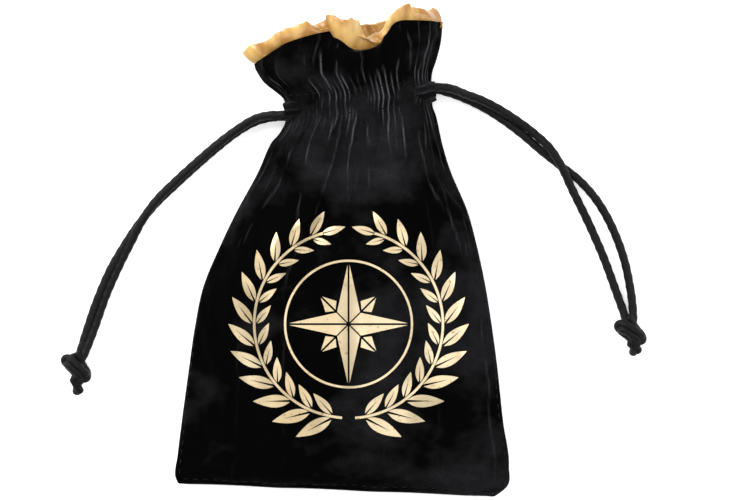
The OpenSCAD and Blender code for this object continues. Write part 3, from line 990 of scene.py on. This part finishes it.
def velvet_over(inner, velvet, side):
    """The height of the velvet's outer face over each point, as seen from outside."""
    surface = BVHTree.FromObject(velvet, bpy.context.evaluated_depsgraph_get())
    inward = Vector((0, 0, -side))
    over = np.full(inner.shape[:2], 0.1 * side)
    for k, point in enumerate(inner.reshape(-1, 3)):
        hit = surface.ray_cast(Vector((point[0], point[1], 0.1 * side)), inward)[0]
        if hit is not None:
            over.flat[k] = hit.z
    return over


def lining_grid(grid, normal, deeps, side, velvet):
    """The lining hangs inside the deepest folds around each point, and follows them loosely."""
    around = nearby(deeps, np.maximum, 6, 0)
    for _ in range(12):
        around[:, 1:-1] = (around[:, :-2] + 2 * around[:, 1:-1] + around[:, 2:]) / 4
        around[1:-1] = (around[:-2] + 2 * around[1:-1] + around[2:]) / 4
    around = np.minimum(around, LINING_DEEPEST)
    edge_fade = ease((KEYS[-1] - ALONG) / (8 * MM))[:, None]
    loose = (around - deeps) * edge_fade + LINING_GAP
    inner = grid - normal * loose[..., None]
    pick = np.minimum if side > 0 else np.maximum
    limit = nearby(velvet_over(inner, velvet, side), pick, 3, 1) - side * LINING_UNDER
    inner[..., 2] = pick(inner[..., 2], limit)
    seam = grid[:, :1, 2] + side * LINING_CLEAR
    inner[..., 2] = np.maximum(inner[..., 2], seam) if side > 0 else np.minimum(inner[..., 2], seam)
    hung = inner[LINING_START:, LINING_START:-LINING_START]
    seams = grid[LINING_START:]
    across = unit(seams[:, -1] - seams[:, 0]) * SEAM_INSET
    hung[:, 0] = seams[:, 0] + across
    hung[:, -1] = seams[:, -1] - across
    return hung


def hinge(piece):
    """Bakes the piece's placement into its mesh."""
    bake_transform(piece)


def strip(lines, name, side):
    """A puffy satin strip from the velvet's edge to its own top, folded over and back inside."""
    low, high = lines
    thick, tucked = TRIM_THICK, TRIM_TUCKED
    over = np.gradient(low, axis=0)
    rise = high - low
    out = unit(np.cross(over, rise)) * side
    at = np.linspace(0, 1, len(low))
    crinkle = smooth_noise(at * CRINKLES, 5 + side)
    pucker = smooth_noise(at * PUCKERS, 9 + side)
    shape = []
    for t in np.linspace(0, 1, 11):
        puff = math.sin(math.pi * min(t * 1.05, 1)) ** 0.7 * thick * 0.55
        shape.append((t, t - tucked * (1 - t), puff - tucked * thick * 0.9 * (1 - t) ** 2))
    ring = shape + [(1, 1.03, -thick * 0.35)]
    ring += [(t, x - tucked * HEM_INSIDE * (1 - t) ** 2, y - thick) for t, x, y in shape[::-1]]
    points = []
    for t, x, y in ring:
        fold = CRINKLE_DEPTH * crinkle * t + PUCKER_DEPTH * pucker * (1 - 0.6 * t)
        fold = fold * MM * min(4 * t, 1)
        tip = rise * (x + 0.035 * pucker * t**3)[:, None]
        points.append(low + tip + out * (y + fold)[:, None])
    points = np.array(points)
    points[..., 2] = np.maximum(points[..., 2], FLOOR_GAP * MM)
    count = len(ring)
    grid = points.transpose(1, 0, 2)
    faces = grid_faces(grid.shape[0], count, around=True)
    last = (grid.shape[0] - 1) * count
    faces += [tuple(range(count))[::-1], tuple(range(last, last + count))]
    obj = new_mesh(name, grid.reshape(-1, 3), faces, SATIN)
    bm = bmesh.new()
    bm.from_mesh(obj.data)
    bmesh.ops.recalc_face_normals(bm, faces=bm.faces)
    bm.to_mesh(obj.data)
    bm.free()
    add_modifier(obj, "SUBSURF", levels=1, render_levels=1)
    return applied(obj)


def trim_lines(side, low):
    """The trim's lower edge lies on the cloth's own edge, low, and its top follows with its folds."""
    top = edge(TRIM_TOPS[side])
    over = np.gradient(top, axis=0)
    out = unit(np.cross(over, top - edge(EDGES[side]))) * side
    fine = np.linspace(0, 1, FOLD_POINTS)
    wave = fold_wave(fine, KEYS[-1] + 6 * MM, side)
    slack = EDGE_SLACK * TRIM_SLACK[side]
    places, depths = gathered(top, slack, wave, deepest(KEYS[-1]))
    at = np.linspace(0, 1, COLUMNS)
    place = np.interp(at, fine, places)
    depth = np.interp(at, fine, depths)
    share = np.linspace(0, 1, SECTION)
    high = read_at(place, share, top) - unit(read_at(place, share, out)) * depth[:, None]
    high[:, 2] = np.maximum(high[:, 2], TRIM_LOWEST)
    at = np.linspace(0, 1, 2 * len(low) - 1)
    keys = np.linspace(0, 1, len(low))
    return through(keys, low, at), through(keys, high, at)


def stitches(name, points, pitch, radius, material, lift):
    """A running stitch along points: short rounded stitches with gaps."""
    run = lengths(points)
    count = max(int(run[-1] / pitch), 1)
    arch = np.sin(np.linspace(0, math.pi, STITCH_RINGS)) ** 0.5
    wide = radius * (0.35 + 0.65 * arch)[:, None]
    made, faces = [], []
    for k in range(count):
        at = np.linspace((k + 0.2) / count, (k + 0.8) / count, STITCH_RINGS) * run[-1]
        line = read_at(at, run, points) + lift * (arch * 1.4 - 0.7)[:, None]
        add_tube(made, faces, line, wide, STITCH_SIDES)
    return new_mesh(name, np.array(made), faces, material)


def joined(name, parts):
    """Several pieces as one."""
    bpy.ops.object.select_all(action="DESELECT")
    for part in parts:
        part.select_set(True)
    bpy.context.view_layer.objects.active = parts[0]
    bpy.ops.object.join()
    parts[0].name = name
    parts[0].data.name = name
    return parts[0]


def row_at(place):
    """The row nearest a place along the bag, given in mm from the middle of the channel."""
    return int(np.argmin(np.abs(ALONG - KEYS[NECK_AT] - place * MM)))


def make_bag():
    made = {}
    for side, face in ((1, "front"), (-1, "back")):
        grid, normal, deeps = draped(side)
        lines = crests(grid, normal)
        grid = relaxed(grid, side)
        velvet = cloth_piece(f"velvet_{face}", grid, VELVET_THICK, VELVET, side, crest=lines)
        inner = lining_grid(grid, normal, deeps, side, velvet)
        lining = cloth_piece(f"lining_{face}", inner, LINING_THICK, LINING, side, fine=0)
        if side > 0:
            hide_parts("outer_front_panel", "ruffle_front_velvet")
            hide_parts("lining_front_panel", "ruffle_front_lining")
        else:
            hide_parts("outer_back_panel")
            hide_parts("lining_back_panel")
        strip_lines = trim_lines(side, grid[-1] - normal[-1] * 0.5 * MM)
        trim = strip(strip_lines, f"mouth_trim_{face}_satin", side)
        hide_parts(f"mouth_trim_{face}")
        along_edge = grid[-1] + (grid[-1] - grid[-3]) * 0.35 + normal[-1] * 0.1 * MM
        sewn = stitches(
            f"mouth_thread_{face}",
            along_edge[4:-4],
            TRIM_PITCH,
            TRIM_THREAD_RADIUS,
            TRIM_THREAD,
            UP * 0.2 * MM * side,
        )
        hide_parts(f"mouth_stitching_{face}")
        for piece, slot in ((velvet, "velvet"), (lining, "lining"), (trim, "trim"), (sewn, "trim_thread")):
            hinge(piece)
        made[face] = (grid, normal)
    return made


bag = make_bag()

THREAD_SUNK = 0.12 * MM
THREAD_RADIUS = 0.25 * MM
CHANNEL_PITCH, SEAM_PITCH = 3.0 * MM, 3.5 * MM
# Each ring of a sleeve: how far out along the neck, how much wider, and the middle across it.
SLEEVE = [
    (17, -2.1, 0.2), (18.6, -1.2, 0.2), (20.6, -0.5, 0.2), (22.8, 0.0, 0.2), (25.2, 0.0, 0.3),
    (27.2, -0.6, 0.5),
]
SLEEVE_HALF = (3.9, 8.2)
SLEEVE_MIDDLE = 8.55
SLEEVE_THICK = 0.9 * MM
SLEEVE_POINTS = 72


def make_stitching():
    """The two rows around the channel, the side seams and the bottom seam."""
    for name, place in (("lower", -4.4), ("upper", 4.2)):
        row = row_at(place)
        parts = []
        for face, side in (("front", 1), ("back", -1)):
            grid, normal = bag[face]
            line = grid[row][3:-3] - normal[row][3:-3] * THREAD_SUNK
            lift = UP * side * 0.14 * MM
            parts.append(
                stitches(f"{name}_{face}", line, CHANNEL_PITCH, THREAD_RADIUS, THREAD, lift)
            )
        piece = joined(f"{name}_channel_thread", parts)
        placed(piece, "pouch", "thread", f"{name}_channel_stitching")
    grid, normal = bag["front"]
    lift = UP * 0.1 * MM
    top = row_at(-7)
    for name, column in (("left", 3), ("right", -4)):
        line = grid[3:top, column] - normal[3:top, column] * THREAD_SUNK
        piece = stitches(f"{name}_side_thread", line, SEAM_PITCH, THREAD_RADIUS, THREAD, lift)
        placed(piece, "pouch", "thread", f"{name}_seam_thread")
    line = grid[2, 3:-3] - normal[2, 3:-3] * THREAD_SUNK
    piece = stitches("bottom_thread", line, SEAM_PITCH, THREAD_RADIUS, THREAD, lift)
    placed(piece, "pouch", "thread", "bottom_seam_thread")


def make_channel_end(side, sign):
    """One end of the channel: a short open sleeve of velvet that the cords come out of."""
    rings, ridges = [], []
    turn = turns(SLEEVE_POINTS)
    for x, grow, middle in SLEEVE:
        pleat = 1 + 0.035 * np.sin(9 * turn + 3 * x) + 0.02 * np.sin(5 * turn + x)
        y = sign * middle + (SLEEVE_HALF[0] + grow) * pleat * np.cos(turn)
        z = SLEEVE_MIDDLE + (SLEEVE_HALF[1] + grow) * pleat * np.sin(turn)
        out = x + 0.25 * np.sin(4 * turn + sign) * max(x - 23, 0) / 4
        rings.append([neck(sign * o, yy, max(zz, 0.2)) for o, yy, zz in zip(out, y, z)])
        # Painted highlight along the tops of the sleeve's pleats, written as crest lines.
        ridges.append(np.clip(np.sin(9 * turn + 3 * x), 0, 1) ** 6 / 2)
    faces = grid_faces(len(rings), len(turn), around=True, flip=sign < 0)
    sleeve = new_mesh(f"{side}_channel_end", np.array(rings).reshape(-1, 3), faces, VELVET)
    mark_crests(sleeve, np.array(ridges))
    add_modifier(sleeve, "SUBSURF", levels=1, render_levels=1)
    add_modifier(sleeve, "SOLIDIFY", thickness=SLEEVE_THICK, offset=-1)
    placed(applied(sleeve), "pouch", "velvet")


make_stitching()
make_channel_end("left", -1)
make_channel_end("right", 1)

# ---- the foil emblem

EMBLEM = flat(2.3, -26.7)
EMBLEM_RADIUS = 43.5
LEAF_PAIRS = 12
LEAF_STEPS = 18
LEAF_LENGTH, LEAF_WIDTH, LEAF_SPREAD = 14, 4.8, 38
INNER_LEAF = 0.7
VEIN_WIDTH, VEIN_SHARE = 0.9, 0.72
STEM_RADIUS, STEM_WIDTH = EMBLEM_RADIUS - 10, 0.9
WREATH_FOOT, WREATH_GAP = 4, 16
RING_RADIUS, RING_WIDTH = 22.5, 0.8
STAR_LONG, STAR_SHORT, STAR_WAIST = 21, 13.5, 4.4
FACET_GAP = 0.7
FOIL_THICK = 0.16 * MM
FOIL_PROUD = 1.15
FOIL_CELL = 1.3


def turned(points, degrees):
    a = math.radians(degrees)
    return np.asarray(points, float) @ np.array(
        [[math.cos(a), math.sin(a)], [-math.sin(a), math.cos(a)]]
    )


def leaf_halves():
    """A pointed leaf, slit along its vein, as its two halves."""
    t = np.arange(1, LEAF_STEPS + 1) / LEAF_STEPS
    x = LEAF_LENGTH * t
    y = LEAF_WIDTH / 2 * np.clip(np.sin(np.pi * t**0.75), 0, 1) ** 0.9
    tip = LEAF_LENGTH * VEIN_SHARE
    slit = VEIN_WIDTH / 2 * np.clip(1 - x / tip, 0, 1)
    upper = np.concatenate([[[0.0, VEIN_WIDTH / 2]], np.stack([x, y], 1)])
    lower_edge = np.stack([x[::-1], slit[::-1]], 1)
    half = np.concatenate([upper, lower_edge[1:]])
    return [half, half * [1, -1]]


def arc_band(radius, width, start, finish, steps=96):
    a = np.radians(np.linspace(start, finish, steps))
    ring = np.stack([np.cos(a), np.sin(a)], 1)
    return np.concatenate([ring * (radius + width / 2), ring[::-1] * (radius - width / 2)])


def branch():
    shapes = []
    sweep = 180 - WREATH_FOOT - WREATH_GAP
    start = WREATH_FOOT - 90
    for k in range(LEAF_PAIRS):
        for side in (-1, 1):
            size = (INNER_LEAF if side < 0 else 1) * (1 - 0.35 * k / LEAF_PAIRS)
            for half in leaf_halves():
                shape = turned(half * size, 90 - side * LEAF_SPREAD)
                shape = shape + [STEM_RADIUS + side * STEM_WIDTH, 0]
                shapes.append(turned(shape, start + sweep * (k + 0.5) / LEAF_PAIRS))
    for half in leaf_halves():
        shape = turned(half * 0.6, 90) + [STEM_RADIUS, 0]
        shapes.append(turned(shape, start + sweep))
    shapes.append(arc_band(STEM_RADIUS, STEM_WIDTH, start, start + sweep))
    return shapes


def star_point(start, length, wing):
    shapes = []
    for side in (-1, 1):
        shift = [0, side * FACET_GAP / 2]
        shapes.append(np.array([[start, 0], [length, 0], [wing[0], side * wing[1]]], float) + shift)
    return shapes


def emblem_shapes():
    right = branch()
    shapes = right + [s * [-1, 1] for s in right]
    shapes += [arc_band(RING_RADIUS, RING_WIDTH, 0, 180), arc_band(RING_RADIUS, RING_WIDTH, 180, 360)]
    valley = STAR_WAIST * math.sqrt(2)
    for k in range(4):
        long = star_point(FACET_GAP, STAR_LONG, (STAR_WAIST, STAR_WAIST - FACET_GAP))
        short = star_point(valley + FACET_GAP, STAR_SHORT, (valley + 2.6, 2.4))
        shapes += [turned(s, k * 90) for s in long]
        shapes += [turned(s, k * 90 + 45) for s in short]
    return shapes


def make_foil():
    bm = bmesh.new()
    for shape in emblem_shapes():
        verts = [bm.verts.new((x * MM + EMBLEM[0], y * MM + EMBLEM[1], 0)) for x, y in shape]
        face = bm.faces.new(verts)
        face.normal_update()
        if face.normal.z < 0:
            face.normal_flip()
    for axis, centre in (((1, 0, 0), EMBLEM[0]), ((0, 1, 0), EMBLEM[1])):
        for k in np.arange(-EMBLEM_RADIUS - 4, EMBLEM_RADIUS + 4, FOIL_CELL):
            place = Vector(axis) * (centre + k * MM)
            geometry = bm.verts[:] + bm.edges[:] + bm.faces[:]
            bmesh.ops.bisect_plane(bm, geom=geometry, plane_co=place, plane_no=axis)
    bmesh.ops.triangulate(bm, faces=bm.faces)
    velvet = bpy.data.objects["velvet_front"]
    tree = BVHTree.FromObject(velvet, bpy.context.evaluated_depsgraph_get())
    for v in bm.verts:
        hit = tree.ray_cast(Vector((v.co.x, v.co.y, 0.05)), Vector((0, 0, -1)))[0]
        v.co.z = hit.z + FOIL_THICK * FOIL_PROUD
    data = bpy.data.meshes.new("foil_print")
    bm.to_mesh(data)
    bm.free()
    foil = finished_mesh("foil_print", data, FOIL)
    add_modifier(foil, "SOLIDIFY", thickness=FOIL_THICK, offset=-1)
    applied(foil)
    foil.data.set_sharp_from_angle(angle=math.radians(40))
    placed(foil, "pouch", "foil", "foil_emblem")


make_foil()
